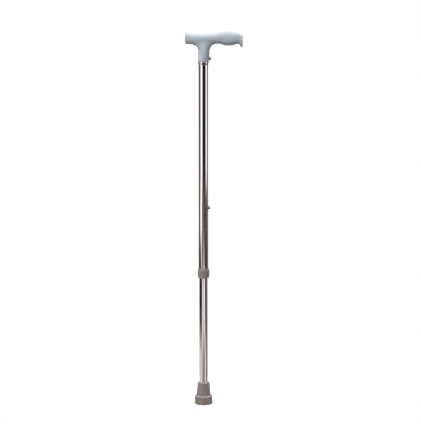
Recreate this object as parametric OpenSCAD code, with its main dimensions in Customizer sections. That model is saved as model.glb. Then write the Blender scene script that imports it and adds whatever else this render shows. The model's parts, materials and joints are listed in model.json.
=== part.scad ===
// Height-adjustable walking stick: a moulded T-handle on two telescoping tubes, set by a spring button
// in a row of holes, steadied by a collar nut over a split clamp ring, and standing on a rubber ferrule.
// The stick stands on z = 0 with its tubes on the Z axis. The handle's long arm and both buttons face +X.
// Sizes are in millimetres.

/* [Tubes] */
// Outer diameter of the upper tube, which the lower one slides into
upper_tube_d = 22; // [19:0.5:27]
// Wall of both tubes
tube_wall = 1.2; // [0.8:0.1:1.6]
// Length of the upper tube, from inside the collar to inside the handle
upper_tube_len = 520; // [420:5:650]
// Length of the lower tube
lower_tube_len = 491.5; // [400:0.5:600]
// Radial gap between the two tubes
slide_gap = 0.3; // [0.2:0.05:0.5]

/* [Height setting] */
// Number of height holes
hole_count = 7; // [4:1:9]
// Distance between height holes
hole_pitch = 25; // [18:1:30]
// Hole that the button stands in, counted from the lowest
hole_in_use = 4; // [1:1:7]
// Distance from the upper tube's lower end to its lowest height hole
lowest_hole_up = 77; // [60:1:95]
// Distance from the lower tube's upper end down to its button
button_from_top = 45; // [38:1:60]

/* [Spring buttons] */
// Diameter of both buttons
button_d = 8.5; // [7:0.1:10.5]
// How far the height button stands out of the upper tube
height_button_out = 4.6; // [3:0.1:6]
// How far the handle button stands out of the handle's stem
handle_button_out = 5; // [3:0.1:6.5]
// Radial gap round a button in a hole
button_gap = 0.12; // [0.05:0.01:0.25]
// Thickness of the spring strip
clip_t = 0.8; // [0.5:0.1:1.2]
// Length of a clip, from its bend to the tips of its legs
clip_len = 42; // [34:1:52]
// Distance from a leg's tip down to its button
clip_tip = 9; // [7:0.5:12]

/* [Handle] */
// Length of the long arm, from the tube's axis
long_arm = 88; // [74:1:106]
// Length of the short arm, from the tube's axis
short_arm = 41.5; // [35:0.5:50]
// Height of the handle's saddle over the foot of its stem
saddle_h = 62.5; // [58:0.5:75]
// Depth of the long arm below the saddle
arm_depth = 21; // [18:0.5:25]
// Width of the handle where the palm rests
palm_w = 28; // [24:0.5:34]
// Width of the lip round the long arm's end, beyond its groove
lip_w = 6.2; // [4:0.1:8]
// Wall of the stem round its socket
stem_wall = 1.3; // [1:0.1:3]
// How far the upper tube reaches into the stem
socket_depth = 38; // [30:1:46]
// Radial gap between the tube and its socket
socket_gap = 0.05; // [0.03:0.01:0.1]
// Height of the handle button over the foot of the stem
handle_button_h = 8; // [6:0.5:12]
// Height of the trim ring below the handle
trim_h = 7; // [5:0.5:9]

/* [Collar] */
// Height of the lock nut
nut_h = 22; // [18:0.5:27]
// Wall of the nut over the bush's thread
nut_wall = 1.5; // [1.2:0.1:2.4]
// Wall of the bush over the upper tube
bush_wall = 0.9; // [0.8:0.1:1.6]
// Number of grip flutes round the nut
nut_flutes = 24; // [16:1:32]
// How far the nut can be screwed down
nut_travel = 3; // [2:0.5:3.5]

/* [Ferrule] */
// Diameter of the ferrule's base
ferrule_d = 40.4; // [34:0.2:49]
// Height of the ferrule
ferrule_h = 50; // [42:0.5:60]
// Height of the wide base
base_h = 17.5; // [14:0.5:21]
// Rubber round the tube at the ferrule's mouth
mouth_wall = 4.6; // [3:0.1:6]
// Thickness of the sole under the washer
sole_t = 7; // [6:0.5:9]
// Thickness of the steel washer
washer_t = 1.5; // [1:0.5:2.5]
// Number of gusset ribs between base and neck
gussets = 8; // [4:1:12]

/* [Hidden] */
$fn = 64;
eps = 0.01;

// Tubes, from the floor up
upper_r = upper_tube_d / 2;
upper_bore_r = upper_r - tube_wall;
lower_r = upper_bore_r - slide_gap;
lower_bore_r = lower_r - tube_wall;
lower_z = sole_t + washer_t;
lower_top = lower_z + lower_tube_len;
height_button_z = lower_top - button_from_top;
upper_z = height_button_z - lowest_hole_up - (hole_in_use - 1) * hole_pitch;
upper_top = upper_z + upper_tube_len;
handle_z = upper_top - socket_depth;
handle_button_z = handle_z + handle_button_h;

// Collar: the nut hangs round the bush on the upper tube's lower end
running_gap = 0.1;          // between threads, and between pieces that turn on each other
clear_gap = 0.3;            // between pieces that pass each other
nut_floor = 2.5;
ring_h = 5.5;
cone_h = 1.6;
bush_lip = 1.5;             // the bush's ledge under the tube's end
seat_gap = 0.1;             // between the clamp ring's cone and the bush's when the nut is done up
thread_r = upper_r + bush_wall;
nut_bore_r = thread_r + running_gap;
nut_r = nut_bore_r + nut_wall;
nut_z = upper_z - bush_lip - cone_h - seat_gap - ring_h + cone_h - nut_floor;
bush_top = nut_z + nut_h - nut_floor - nut_travel;

// Spring clips and their buttons
clip_w = button_d - 0.5;
hole_r = button_d / 2 + button_gap;
rivet_r = button_d / 5;
rivet_head = 1.2;
bend_r = 3;                 // the strip's middle line at the bend
kink_drop = 7;              // from the button down to where the leg's pad starts
height_tip_x = upper_r + height_button_out;

// Handle, in heights over the foot of its stem
stem_r = upper_r + socket_gap + stem_wall;
under_h = saddle_h - arm_depth;
flare_start = under_h - 19; // where the stem starts to spread into the arms
flare_left = 29;
flare_right = 30;
flare_steps = 12;
hook_start = long_arm * 0.86;
groove_w = 1.8;             // V-shaped groove in front of the lip
groove_depth = 0.55;
groove_start = long_arm - lip_w - groove_w;
edge_r = 2.2;               // rounding of the arms' ends
bar_power = 2.35;           // superellipse: 2 is an oval, more is squarer
ring_points = 36;           // a multiple of 12
handle_tip_x = stem_side(handle_button_h) + handle_button_out;

// Curves ---------------------------------------------------------------------------------------------

// Index of the stretch of a curve that holds x
function stretch(pts, x, i = 0) = i >= len(pts) - 2 || x <= pts[i + 1][0] ? i : stretch(pts, x, i + 1);

// Slope of a curve at its point i
function slope(pts, i) =
    let (a = pts[max(i - 1, 0)], b = pts[min(i + 1, len(pts) - 1)])
    (b[1] - a[1]) / (b[0] - a[0]);

// Height at x of the smooth curve through the points, level beyond its ends
function curve(pts, x) =
    let (
        i = stretch(pts, x), p = pts[i], q = pts[i + 1], w = q[0] - p[0],
        t = min(max((x - p[0]) / w, 0), 1), m = slope(pts, i) * w, n = slope(pts, i + 1) * w
    )
    (2 * t ^ 3 - 3 * t ^ 2 + 1) * p[1] + (t ^ 3 - 2 * t ^ 2 + t) * m
    + (3 * t ^ 2 - 2 * t ^ 3) * q[1] + (t ^ 3 - t ^ 2) * n;

// One coordinate of a superellipse: a cosine or sine, raised to 2 / n with its sign kept
function squared_off(v, n) = sign(v) * pow(abs(v), 2 / n);

// How much a rounded end has drawn in at a distance from it
function drawn_in(d) = d >= edge_r ? 0 : edge_r - sqrt(edge_r ^ 2 - (edge_r - d) ^ 2);

// Depth of the V-shaped groove in front of the long arm's lip
function grooved_in(x) = groove_depth * max(1 - abs((x - groove_start) * 2 / groove_w - 1), 0);

// Handle ---------------------------------------------------------------------------------------------

// Heights of the bar's top and underside over the stem's foot, and its width, along the arms
top_line = [
    [-short_arm, saddle_h + 5], [-short_arm * 0.86, saddle_h + 2.2], [-short_arm * 0.6, saddle_h + 0.3],
    [0, saddle_h - 0.3], [long_arm * 0.25, saddle_h + 1.4], [long_arm * 0.5, saddle_h + 5.2],
    [long_arm * 0.68, saddle_h + 5.8], [long_arm * 0.86, saddle_h + 3.6], [long_arm, saddle_h - 2]
];
under_line = [
    [-short_arm, under_h + 0.2], [-short_arm * 0.7, under_h - 1], [0, under_h - 0.6],
    [long_arm * 0.42, under_h], [long_arm * 0.53, under_h - 3], [long_arm * 0.6, under_h - 4.2],
    [long_arm * 0.66, under_h - 3.4], [long_arm * 0.72, under_h - 3.9], [long_arm * 0.8, under_h - 1.8],
    [long_arm * 0.87, under_h - 0.8], [long_arm * 0.92, under_h - 3], [long_arm * 0.96, under_h - 8],
    [long_arm, under_h - 8.4]
];
width_line = [
    [-short_arm, palm_w - 3], [-short_arm * 0.6, palm_w - 4], [0, palm_w - 1.5],
    [long_arm * 0.35, palm_w - 2], [long_arm * 0.62, palm_w], [long_arm * 0.85, palm_w - 3],
    [long_arm, palm_w - 6]
];

// Cross-section of the bar at x, a superellipse that starts at +Y and turns over the top
function bar_ring(x) =
    let (
        inset = drawn_in(min(x + short_arm, long_arm - x)) + grooved_in(x),
        top = curve(top_line, x) - inset, under = curve(under_line, x) + inset,
        w = curve(width_line, x) / 2 - inset, mid = (top + under) / 2, h = (top - under) / 2
    )
    [for (j = [0:ring_points - 1])
        let (a = 360 * j / ring_points)
        [x, w * squared_off(cos(a), bar_power), mid + h * squared_off(sin(a), bar_power)]];

// Stations along the bar: close together where an end draws in and over the hook, and even over the stem
short_stations = concat(
    [for (k = [0:2]) -short_arm + edge_r * (1 - cos(30 * k))],
    [for (k = [0:2]) -short_arm + edge_r + (short_arm - edge_r - flare_left) * k / 3]
);
stem_stations = [for (k = [0:flare_steps]) -flare_left + (flare_left + flare_right) * k / flare_steps];
long_stations = concat(
    [for (k = [1:9]) flare_right + (hook_start - flare_right) * k / 9],
    [for (k = [1:3]) hook_start + (groove_start - hook_start) * k / 3],
    [groove_start + groove_w / 2, groove_start + groove_w],
    [for (k = [1:3]) long_arm - lip_w + (lip_w - edge_r) * k / 3],
    [for (k = [2:-1:0]) long_arm - edge_r * (1 - cos(30 * k))]
);
bar_stations = concat(short_stations, stem_stations, long_stations);

// The stem leans a little towards the long arm as it rises
function stem_lean(h) = 1.3 * (1 - cos(180 * min(h / 18, 1))) / 2;
function stem_side(h) = stem_r + stem_lean(h);
function stem_point(angle, h) = [stem_lean(h) + stem_r * cos(angle), stem_r * sin(angle), h];

// Where a point on the rim of the bar's opening has come to, turned down a quarter round by the angle a
function flare_point(rim, a) =
    let (
        mid = (flare_right - flare_left) / 2, half = (flare_right + flare_left) / 2,
        foot = stem_point(atan2(rim[1] / stem_r, (rim[0] - mid) / half), flare_start)
    )
    [
        rim[0] + (foot[0] - rim[0]) * sin(a), rim[1] + (foot[1] - rim[1]) * sin(a),
        foot[2] + (rim[2] - foot[2]) * cos(a)
    ];

// One skin for bar and stem: the bar's rings are left open underneath, from first_j to last_j over the
// stem's stations, and the stem's rings run down from the opening's rim to the round foot
module handle_skin() {
    n = ring_points;
    first_i = len(short_stations);
    last_i = first_i + flare_steps;
    first_j = n * 7 / 12;
    last_j = n * 11 / 12;
    bar = [for (x = bar_stations) each bar_ring(x)];
    opening = concat(
        [for (j = [first_j:last_j - 1]) first_i * n + j], [for (i = [first_i:last_i - 1]) i * n + last_j],
        [for (j = [last_j:-1:first_j + 1]) last_i * n + j], [for (i = [last_i:-1:first_i + 1]) i * n + first_j]
    );
    m = len(opening);
    flare_rings = [for (a = [9:9:90]) each [for (k = opening) flare_point(bar[k], a)]];
    foot = [for (k = [0:m - 1]) flare_rings[len(flare_rings) - m + k]];
    stem_rings = [for (h = flare_start * [0.8, 0.6, 0.4, 0.2, 0]) each
        [for (p = foot) stem_point(atan2(p[1], p[0] - stem_lean(flare_start)), h)]];
    function stem_index(r, k) = r == 0 ? opening[k] : len(bar) + (r - 1) * m + k;
    rings = (len(flare_rings) + len(stem_rings)) / m;
    bar_faces = [for (i = [0:len(bar_stations) - 2], j = [0:n - 1])
        if (i < first_i || i >= last_i || j < first_j || j >= last_j)
        let (a = i * n + j, b = i * n + (j + 1) % n) each [[b + n, b, a], [a + n, b + n, a]]];
    stem_faces = [for (r = [0:rings - 1], k = [0:m - 1])
        let (a = stem_index(r, k), b = stem_index(r, (k + 1) % m), c = stem_index(r + 1, (k + 1) % m), d = stem_index(r + 1, k))
        each [[c, b, a], [d, c, a]]];
    caps = [
        [for (j = [0:n - 1]) j], [for (j = [n - 1:-1:0]) len(bar) - n + j],
        [for (k = [m - 1:-1:0]) stem_index(rings, k)]
    ];
    polyhedron(points = concat(bar, flare_rings, stem_rings), faces = concat(caps, bar_faces, stem_faces));
}

module handle_grip() {
    color([0.66, 0.70, 0.75])
    translate([0, 0, handle_z])
    difference() {
        handle_skin();
        translate([0, 0, -eps]) cylinder(r = upper_r + socket_gap, h = socket_depth + socket_gap + eps);
        translate([0, 0, handle_button_h]) rotate([0, 90, 0]) cylinder(r = hole_r, h = long_arm / 3);
    }
}

module trim_ring() {
    foot_lip = 0.5;
    head_band = 1.6;
    color([0.80, 0.80, 0.80])
    translate([0, 0, handle_z - trim_h])
    rotate_extrude()
    polygon([
        [upper_r, 0], [upper_r + foot_lip, 0], [stem_r - 0.4, trim_h - head_band - 0.4],
        [stem_r - 0.1, trim_h - head_band], [stem_r - 0.1, trim_h - 0.3], [stem_r - 0.4, trim_h],
        [upper_r, trim_h]
    ]);
}

// Tubes ----------------------------------------------------------------------------------------------

module tube(r, length) {
    difference() {
        cylinder(r = r, h = length);
        translate([0, 0, -eps]) cylinder(r = r - tube_wall, h = length + 2 * eps);
    }
}

// A button hole through one wall, on the +X side
module side_hole(z, r) {
    translate([0, 0, z]) rotate([0, 90, 0]) cylinder(r = hole_r, h = r + 1);
}

module upper_tube() {
    color([0.78, 0.78, 0.79])
    difference() {
        translate([0, 0, upper_z]) tube(upper_r, upper_tube_len);
        for (i = [0:hole_count - 1]) side_hole(upper_z + lowest_hole_up + i * hole_pitch, upper_r);
        side_hole(handle_button_z, upper_r);
    }
}

module lower_tube() {
    color([0.78, 0.78, 0.79])
    difference() {
        translate([0, 0, lower_z]) tube(lower_r, lower_tube_len);
        side_hole(height_button_z, lower_r);
    }
}

// Sleeve plugged into the lower tube's upper end, which stops it rattling in the upper tube
module guide_bush() {
    head_h = 4;
    spigot_h = 10;
    guide_r = upper_bore_r - 0.05;
    chamfer = 0.8;
    bore_r = lower_bore_r - 1.6;
    color([0.20, 0.20, 0.21])
    translate([0, 0, lower_top])
    rotate_extrude()
    polygon([
        [bore_r, -spigot_h], [lower_bore_r - 0.6, -spigot_h], [lower_bore_r, -spigot_h + 1],
        [lower_bore_r, 0], [guide_r, 0], [guide_r, head_h - chamfer], [guide_r - chamfer, head_h],
        [bore_r, head_h]
    ]);
}

// Collar ---------------------------------------------------------------------------------------------

module collar_bush() {
    lip_z = upper_z - bush_lip;
    mouth_z = lip_z - cone_h;
    color([0.24, 0.24, 0.25])
    rotate_extrude()
    polygon([
        [lower_r + clear_gap + cone_h, mouth_z], [thread_r - 0.4, mouth_z], [thread_r, mouth_z + 0.4],
        [thread_r, bush_top - 0.4], [thread_r - 0.4, bush_top], [upper_r, bush_top],
        [upper_r, upper_z], [lower_r + clear_gap, upper_z], [lower_r + clear_gap, lip_z]
    ]);
}

// Split ring that the nut squeezes on to the lower tube between two cones
module clamp_ring() {
    grip_r = lower_r + 0.05;
    outer_r = grip_r + cone_h + 0.2;
    ring_z = nut_z + nut_floor;
    slit = 2.2;
    color([0.85, 0.84, 0.80])
    difference() {
        translate([0, 0, ring_z])
        rotate_extrude()
        polygon([
            [grip_r, 0], [outer_r - cone_h, 0], [outer_r, cone_h], [outer_r, ring_h - cone_h],
            [outer_r - cone_h, ring_h], [grip_r, ring_h]
        ]);
        translate([-2 * outer_r, -slit / 2, ring_z - 1]) cube([2 * outer_r, slit, ring_h + 2]);
    }
}

module lock_nut() {
    waist_r = nut_r - 0.7;
    foot_r = nut_r - 1.6;
    head_r = upper_r + 1.1;
    flute_r = 1.6;
    flute_depth = 0.4;
    rim_h = nut_h - nut_floor;
    color([0.49, 0.48, 0.47])
    translate([0, 0, nut_z])
    difference() {
        rotate_extrude()
        polygon([
            [lower_r + clear_gap, 0], [foot_r, 0], [waist_r, 2.6], [nut_r - 0.1, nut_h - 8],
            [nut_r, nut_h - 6.4], [nut_r - 0.3, nut_h - 4.2], [head_r, nut_h], [upper_r + clear_gap, nut_h],
            [upper_r + clear_gap, rim_h], [nut_bore_r, rim_h],
            [nut_bore_r, nut_floor], [lower_r + clear_gap, nut_floor]
        ]);
        for (i = [0:nut_flutes - 1])
            rotate(360 * (i + 0.5) / nut_flutes)
            translate([waist_r + flute_r - flute_depth, 0, 3.4]) cylinder(r = flute_r, h = nut_h - 9.2);
    }
}

// Spring buttons -------------------------------------------------------------------------------------

// Outer face of a clip's pad in a tube's bore: the strip's edges nearly touch the wall
function pad_face(bore_r) = sqrt((bore_r - clear_gap) ^ 2 - (clip_w / 2) ^ 2);

// A straight piece of the strip's edge view, from p to q
module strip_piece(p, q) {
    d = q - p;
    translate(p) rotate(atan2(d[1], d[0])) translate([0, -clip_t / 2]) square([norm(d), clip_t]);
    translate(q) circle(d = clip_t);
}

// Folded spring strip, open end up, with its button's pad at the height z = 0 on the +X side
module clip(bore_r) {
    pad_x = pad_face(bore_r) - clip_t / 2;
    bend_z = clip_tip - clip_len + bend_r + clip_t / 2;
    kink_z = -kink_drop;
    difference() {
        rotate([90, 0, 0])
        linear_extrude(clip_w, center = true)
        union() {
            difference() {
                translate([0, bend_z]) circle(r = bend_r + clip_t / 2);
                translate([0, bend_z]) circle(r = bend_r - clip_t / 2);
                translate([-2 * bend_r, bend_z]) square([4 * bend_r, 2 * bend_r]);
            }
            for (side = [-1, 1]) {
                strip_piece([side * bend_r, bend_z], [side * pad_x, kink_z]);
                strip_piece([side * pad_x, kink_z], [side * pad_x, clip_tip - clip_t / 2]);
            }
        }
        rotate([0, 90, 0]) cylinder(r = rivet_r + 0.05, h = 2 * bore_r);
    }
}

// Button with a domed head, its tail riveted through the clip's pad
module button(bore_r, tip_x) {
    face = pad_face(bore_r);
    dome_h = button_d * 0.34;
    dome_r = (dome_h ^ 2 + (button_d / 2) ^ 2) / (2 * dome_h);
    rotate([0, 90, 0]) {
        translate([0, 0, face]) cylinder(d = button_d, h = tip_x - dome_h - face);
        intersection() {
            translate([0, 0, tip_x - dome_r]) sphere(r = dome_r);
            translate([0, 0, tip_x - dome_h]) cylinder(d = button_d, h = dome_h);
        }
        translate([0, 0, face - clip_t]) cylinder(r = rivet_r, h = clip_t);
        translate([0, 0, face - clip_t - rivet_head]) cylinder(r1 = rivet_r, r2 = rivet_r * 1.7, h = rivet_head);
    }
}

module height_clip() {
    color([0.45, 0.46, 0.48]) translate([0, 0, height_button_z]) clip(lower_bore_r);
}

module height_button() {
    color([0.35, 0.38, 0.42]) translate([0, 0, height_button_z]) button(lower_bore_r, height_tip_x);
}

module handle_clip() {
    color([0.45, 0.46, 0.48]) translate([0, 0, handle_button_z]) clip(upper_bore_r);
}

module handle_button() {
    color([0.80, 0.80, 0.80]) translate([0, 0, handle_button_z]) button(upper_bore_r, handle_tip_x);
}

// Ferrule --------------------------------------------------------------------------------------------

module ferrule_washer() {
    color([0.60, 0.60, 0.60])
    translate([0, 0, sole_t])
    cylinder(r = lower_r - 0.2, h = washer_t);
}

module ferrule() {
    base_r = ferrule_d / 2;
    mouth_r = lower_r + mouth_wall;
    neck_r = mouth_r + 1.7;
    shoulder_h = 2.5;
    shoulder_in = 2.2;
    tread_w = 2.2;
    tread_depth = 1.6;
    tread_pitch = 4.4;
    treads = floor((base_r - 7) / tread_pitch);
    gusset_t = 2.2;
    gusset_h = 13;
    gusset_top = neck_r - 0.5;
    color([0.50, 0.46, 0.45]) {
        difference() {
            rotate_extrude()
            polygon([
                [0, 0], [base_r - 1.2, 0], [base_r, 1.4], [base_r, base_h],
                [base_r - shoulder_in, base_h + shoulder_h * 0.8], [neck_r, base_h + shoulder_h],
                [mouth_r - 0.1, ferrule_h - 4], [mouth_r - 0.5, ferrule_h - 3.6], [mouth_r - 0.5, ferrule_h - 3.1],
                [mouth_r, ferrule_h - 2.7], [mouth_r, ferrule_h - 0.9], [mouth_r - 0.9, ferrule_h],
                [lower_r, ferrule_h], [lower_r, sole_t], [0, sole_t]
            ]);
            for (i = [1:treads])
                translate([0, 0, -eps])
                difference() {
                    cylinder(r = 2 + i * tread_pitch + tread_w, h = tread_depth);
                    translate([0, 0, -eps]) cylinder(r = 2 + i * tread_pitch, h = tread_depth + 2 * eps);
                }
        }
        for (i = [0:gussets - 1])
            rotate(360 * (i + 0.5) / gussets)
            rotate([90, 0, 0])
            linear_extrude(gusset_t, center = true)
            polygon([
                [lower_r + 1, base_h + 1], [base_r - shoulder_in, base_h + 1],
                [base_r - shoulder_in - 0.4, base_h + shoulder_h], [gusset_top, base_h + gusset_h],
                [lower_r + 1, base_h + gusset_h]
            ]);
    }
}

handle_grip();
handle_button();
handle_clip();
trim_ring();
upper_tube();
collar_bush();
clamp_ring();
lock_nut();
lower_tube();
guide_bush();
height_button();
height_clip();
ferrule_washer();
ferrule();
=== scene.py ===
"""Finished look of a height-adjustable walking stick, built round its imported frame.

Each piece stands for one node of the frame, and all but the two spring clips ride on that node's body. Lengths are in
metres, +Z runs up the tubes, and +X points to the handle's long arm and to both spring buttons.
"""

import json
import logging
import math
from dataclasses import dataclass
from enum import Enum
from typing import Any, Iterator, Sequence

import bmesh
import bpy
from mathutils import Matrix, Vector


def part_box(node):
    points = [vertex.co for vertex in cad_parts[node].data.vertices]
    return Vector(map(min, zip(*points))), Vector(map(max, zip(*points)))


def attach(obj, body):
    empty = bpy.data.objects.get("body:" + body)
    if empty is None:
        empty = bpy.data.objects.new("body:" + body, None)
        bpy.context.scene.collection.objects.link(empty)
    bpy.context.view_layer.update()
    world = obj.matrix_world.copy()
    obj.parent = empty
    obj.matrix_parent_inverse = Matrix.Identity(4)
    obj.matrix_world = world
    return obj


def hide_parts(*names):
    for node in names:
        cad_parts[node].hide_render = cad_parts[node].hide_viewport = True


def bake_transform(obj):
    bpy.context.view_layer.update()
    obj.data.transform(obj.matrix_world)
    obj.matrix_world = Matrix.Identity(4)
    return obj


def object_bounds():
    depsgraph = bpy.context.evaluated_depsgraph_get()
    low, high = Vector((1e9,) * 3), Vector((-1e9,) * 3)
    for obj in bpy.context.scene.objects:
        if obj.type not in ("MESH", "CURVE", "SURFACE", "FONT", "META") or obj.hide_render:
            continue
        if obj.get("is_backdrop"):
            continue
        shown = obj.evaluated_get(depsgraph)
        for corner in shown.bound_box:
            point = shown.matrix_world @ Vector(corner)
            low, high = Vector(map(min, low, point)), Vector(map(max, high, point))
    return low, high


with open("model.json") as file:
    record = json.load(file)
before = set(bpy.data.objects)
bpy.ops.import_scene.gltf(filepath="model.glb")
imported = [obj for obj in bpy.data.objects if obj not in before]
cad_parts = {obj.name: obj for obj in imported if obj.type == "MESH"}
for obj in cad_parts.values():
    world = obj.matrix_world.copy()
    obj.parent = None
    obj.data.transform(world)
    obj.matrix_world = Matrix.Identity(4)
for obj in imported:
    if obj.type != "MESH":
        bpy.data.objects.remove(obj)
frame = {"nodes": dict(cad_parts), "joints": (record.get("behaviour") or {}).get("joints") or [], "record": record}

log = logging.getLogger("walking_stick")
CAD_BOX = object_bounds()
MM = 0.001
RECORD = frame["record"]
BODY_OF = {node: body for body, nodes in RECORD["behaviour"]["bodies"].items() for node in nodes}
JOINT = {joint["name"]: joint for joint in frame["joints"]}

Outline = list[tuple[float, float]]
Colour = tuple[float, float, float]


class Axis(Enum):
    """Axis that a turned piece is round."""

    UP = "z"
    OUT = "x"


# Node trees -------------------------------------------------------------------------------------------


class Wiring:
    """Adds nodes to one node tree and joins them."""

    def __init__(self, tree: bpy.types.NodeTree) -> None:
        """Keeps the tree that the nodes go into."""
        self.tree = tree

    def feed(self, socket: bpy.types.NodeSocket, value: Any) -> None:
        """Gives an input a value or another node's output.

        Args:
            socket: The input.
            value: A plain value, an output socket, or None to leave the input alone.
        """
        if isinstance(value, bpy.types.NodeSocket):
            self.tree.links.new(value, socket)
        elif value is not None:
            socket.default_value = value

    def add(self, kind: str, *values: Any, **settings: Any) -> bpy.types.Node:
        """Adds a node.

        Args:
            kind: The node's type name.
            values: What goes into its inputs, in their order.
            settings: The node's own properties.

        Returns:
            The new node.
        """
        node = self.tree.nodes.new(kind)
        for name, value in settings.items():
            setattr(node, name, value)
        for socket, value in zip(node.inputs, values):
            self.feed(socket, value)
        return node

    def math(self, operation: str, *values: Any) -> bpy.types.NodeSocket:
        """Adds a Math node and returns its output."""
        return self.add("ShaderNodeMath", *values, operation=operation).outputs[0]

    def remap(
        self, value: Any, low: Any, high: Any, to_low: Any = 0.0, to_high: Any = 1.0, kind: str = "SMOOTHSTEP"
    ) -> bpy.types.NodeSocket:
        """Maps a stretch of values to another one.

        Args:
            value: What is mapped.
            low: Where the stretch starts.
            high: Where it ends.
            to_low: What the start becomes.
            to_high: What the end becomes.
            kind: The interpolation between them.

        Returns:
            The mapped value.
        """
        node = self.add("ShaderNodeMapRange", value, low, high, to_low, to_high, interpolation_type=kind)
        return node.outputs[0]


class Shader(Wiring):
    """A material round one Principled shader, while it is being wired."""

    def __init__(self, name: str, **sockets: Any) -> None:
        """Starts a material.

        Args:
            name: The material's name.
            sockets: Constant values of the shader's inputs, with underscores for spaces.
        """
        self.material = bpy.data.materials.new(name)
        self.material.use_nodes = True
        super().__init__(self.material.node_tree)
        self.surface = self.tree.nodes["Principled BSDF"]
        for label, value in sockets.items():
            self.surface.inputs[label.replace("_", " ")].default_value = value

    def place(self, *stretch: float) -> bpy.types.NodeSocket:
        """Object coordinates, each axis multiplied by its own number."""
        where = self.add("ShaderNodeTexCoord").outputs["Object"]
        return self.add("ShaderNodeMapping", where, None, None, stretch).outputs[0]

    def noise(self, where: bpy.types.NodeSocket, scale: float, detail: float = 2.0) -> bpy.types.NodeSocket:
        """Smooth random values round a half.

        Args:
            where: The coordinates it is read at.
            scale: Its grains per metre.
            detail: How many finer layers it has.

        Returns:
            The noise.
        """
        return self.add("ShaderNodeTexNoise", where, None, scale, detail).outputs[0]

    def blend(self, share: Any, first: Colour, second: Colour) -> bpy.types.NodeSocket:
        """Mixes two colours.

        Args:
            share: How much of the second colour there is.
            first: The first colour.
            second: The second colour.

        Returns:
            The mixed colour.
        """
        node = self.add("ShaderNodeMix", data_type="RGBA")
        self.feed(node.inputs[0], share)
        node.inputs[6].default_value = (*first, 1)
        node.inputs[7].default_value = (*second, 1)
        return node.outputs[2]

    def tint(self, colour: bpy.types.NodeSocket, share: Any, towards: Colour) -> bpy.types.NodeSocket:
        """Mixes a colour that varies towards a plain one.

        Args:
            colour: The colour that varies.
            share: How much of the plain colour there is.
            towards: The plain colour.

        Returns:
            The mixed colour.
        """
        node = self.add("ShaderNodeMix", data_type="RGBA")
        self.feed(node.inputs[0], share)
        self.feed(node.inputs[6], colour)
        node.inputs[7].default_value = (*towards, 1)
        return node.outputs[2]

    def relief(
        self, height: Any, depth: float, under: bpy.types.NodeSocket | None = None
    ) -> bpy.types.NodeSocket:
        """Turns a height into a surface direction.

        Args:
            height: The height, from 0 to 1.
            depth: How deep it is, in metres.
            under: The relief that this one lies on.

        Returns:
            The direction, for a Normal input.
        """
        node = self.add("ShaderNodeBump")
        for label, value in (("Distance", depth), ("Height", height), ("Normal", under)):
            self.feed(node.inputs[label], value)
        return node.outputs[0]

    def dress(self, **inputs: bpy.types.NodeSocket) -> bpy.types.Material:
        """Feeds outputs into the shader's inputs, named with underscores for spaces, and returns the material."""
        for label, value in inputs.items():
            self.feed(self.surface.inputs[label.replace("_", " ")], value)
        return self.material


class Growth(Wiring):
    """A Geometry Nodes tree with named inputs, which works on a piece's mesh."""

    KINDS = {int: "NodeSocketInt", float: "NodeSocketFloat"}

    def __init__(self, name: str, **inputs: int | float) -> None:
        """Starts a tree.

        Args:
            name: The tree's name.
            inputs: The tree's own inputs and their usual values.
        """
        super().__init__(bpy.data.node_groups.new(name, "GeometryNodeTree"))
        face = self.tree.interface
        face.new_socket("Geometry", in_out="OUTPUT", socket_type="NodeSocketGeometry")
        face.new_socket("Geometry", in_out="INPUT", socket_type="NodeSocketGeometry")
        for label, usual in inputs.items():
            face.new_socket(label, in_out="INPUT", socket_type=self.KINDS[type(usual)]).default_value = usual
        face.new_socket("Finish", in_out="INPUT", socket_type="NodeSocketMaterial")
        self.given = self.tree.nodes.new("NodeGroupInput").outputs

    def close(self, geometry: bpy.types.NodeSocket) -> "Growth":
        """Ends the tree: makes copies real and gives them their finish.

        Args:
            geometry: What the tree has made.

        Returns:
            The tree itself.
        """
        real = self.add("GeometryNodeRealizeInstances", geometry).outputs[0]
        dressed = self.add("GeometryNodeSetMaterial", real, None, self.given["Finish"]).outputs[0]
        self.add("NodeGroupOutput", dressed)
        return self

    def grow(self, obj: bpy.types.Object, finish: bpy.types.Material, **values: int | float) -> bpy.types.Object:
        """Works on a piece's mesh, and leaves a plain mesh behind.

        Args:
            obj: The piece.
            finish: Its material.
            values: The tree's inputs that differ from their usual values.

        Returns:
            The piece.
        """
        modifier = obj.modifiers.new(self.tree.name, "NODES")
        modifier.node_group = self.tree
        for socket in self.tree.interface.items_tree:
            if socket.in_out == "INPUT" and socket.name in values:
                modifier[socket.identifier] = values[socket.name]
            elif socket.in_out == "INPUT" and socket.name == "Finish":
                modifier[socket.identifier] = finish
        return applied(obj)


# Meshes -----------------------------------------------------------------------------------------------


def applied(obj: bpy.types.Object) -> bpy.types.Object:
    """Puts an object's modifiers into its mesh.

    Args:
        obj: The object.

    Returns:
        The same object, with no modifier left.
    """
    graph = bpy.context.evaluated_depsgraph_get()
    mesh = bpy.data.meshes.new_from_object(obj.evaluated_get(graph), preserve_all_data_layers=True, depsgraph=graph)
    obj.modifiers.clear()
    obj.data = mesh
    mesh.name = obj.name
    return obj


def placed(name: str, bm: bmesh.types.BMesh) -> bpy.types.Object:
    """Makes an object of a bmesh, with faces pointing outwards.

    Args:
        name: The object's name.
        bm: The mesh, which is freed.

    Returns:
        The object, in the scene.
    """
    bmesh.ops.remove_doubles(bm, verts=bm.verts, dist=1e-7)
    bmesh.ops.dissolve_degenerate(bm, edges=bm.edges, dist=1e-8)
    bmesh.ops.recalc_face_normals(bm, faces=bm.faces)
    mesh = bpy.data.meshes.new(name)
    bm.to_mesh(mesh)
    bm.free()
    obj = bpy.data.objects.new(name, mesh)
    bpy.context.scene.collection.objects.link(obj)
    return obj


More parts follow.
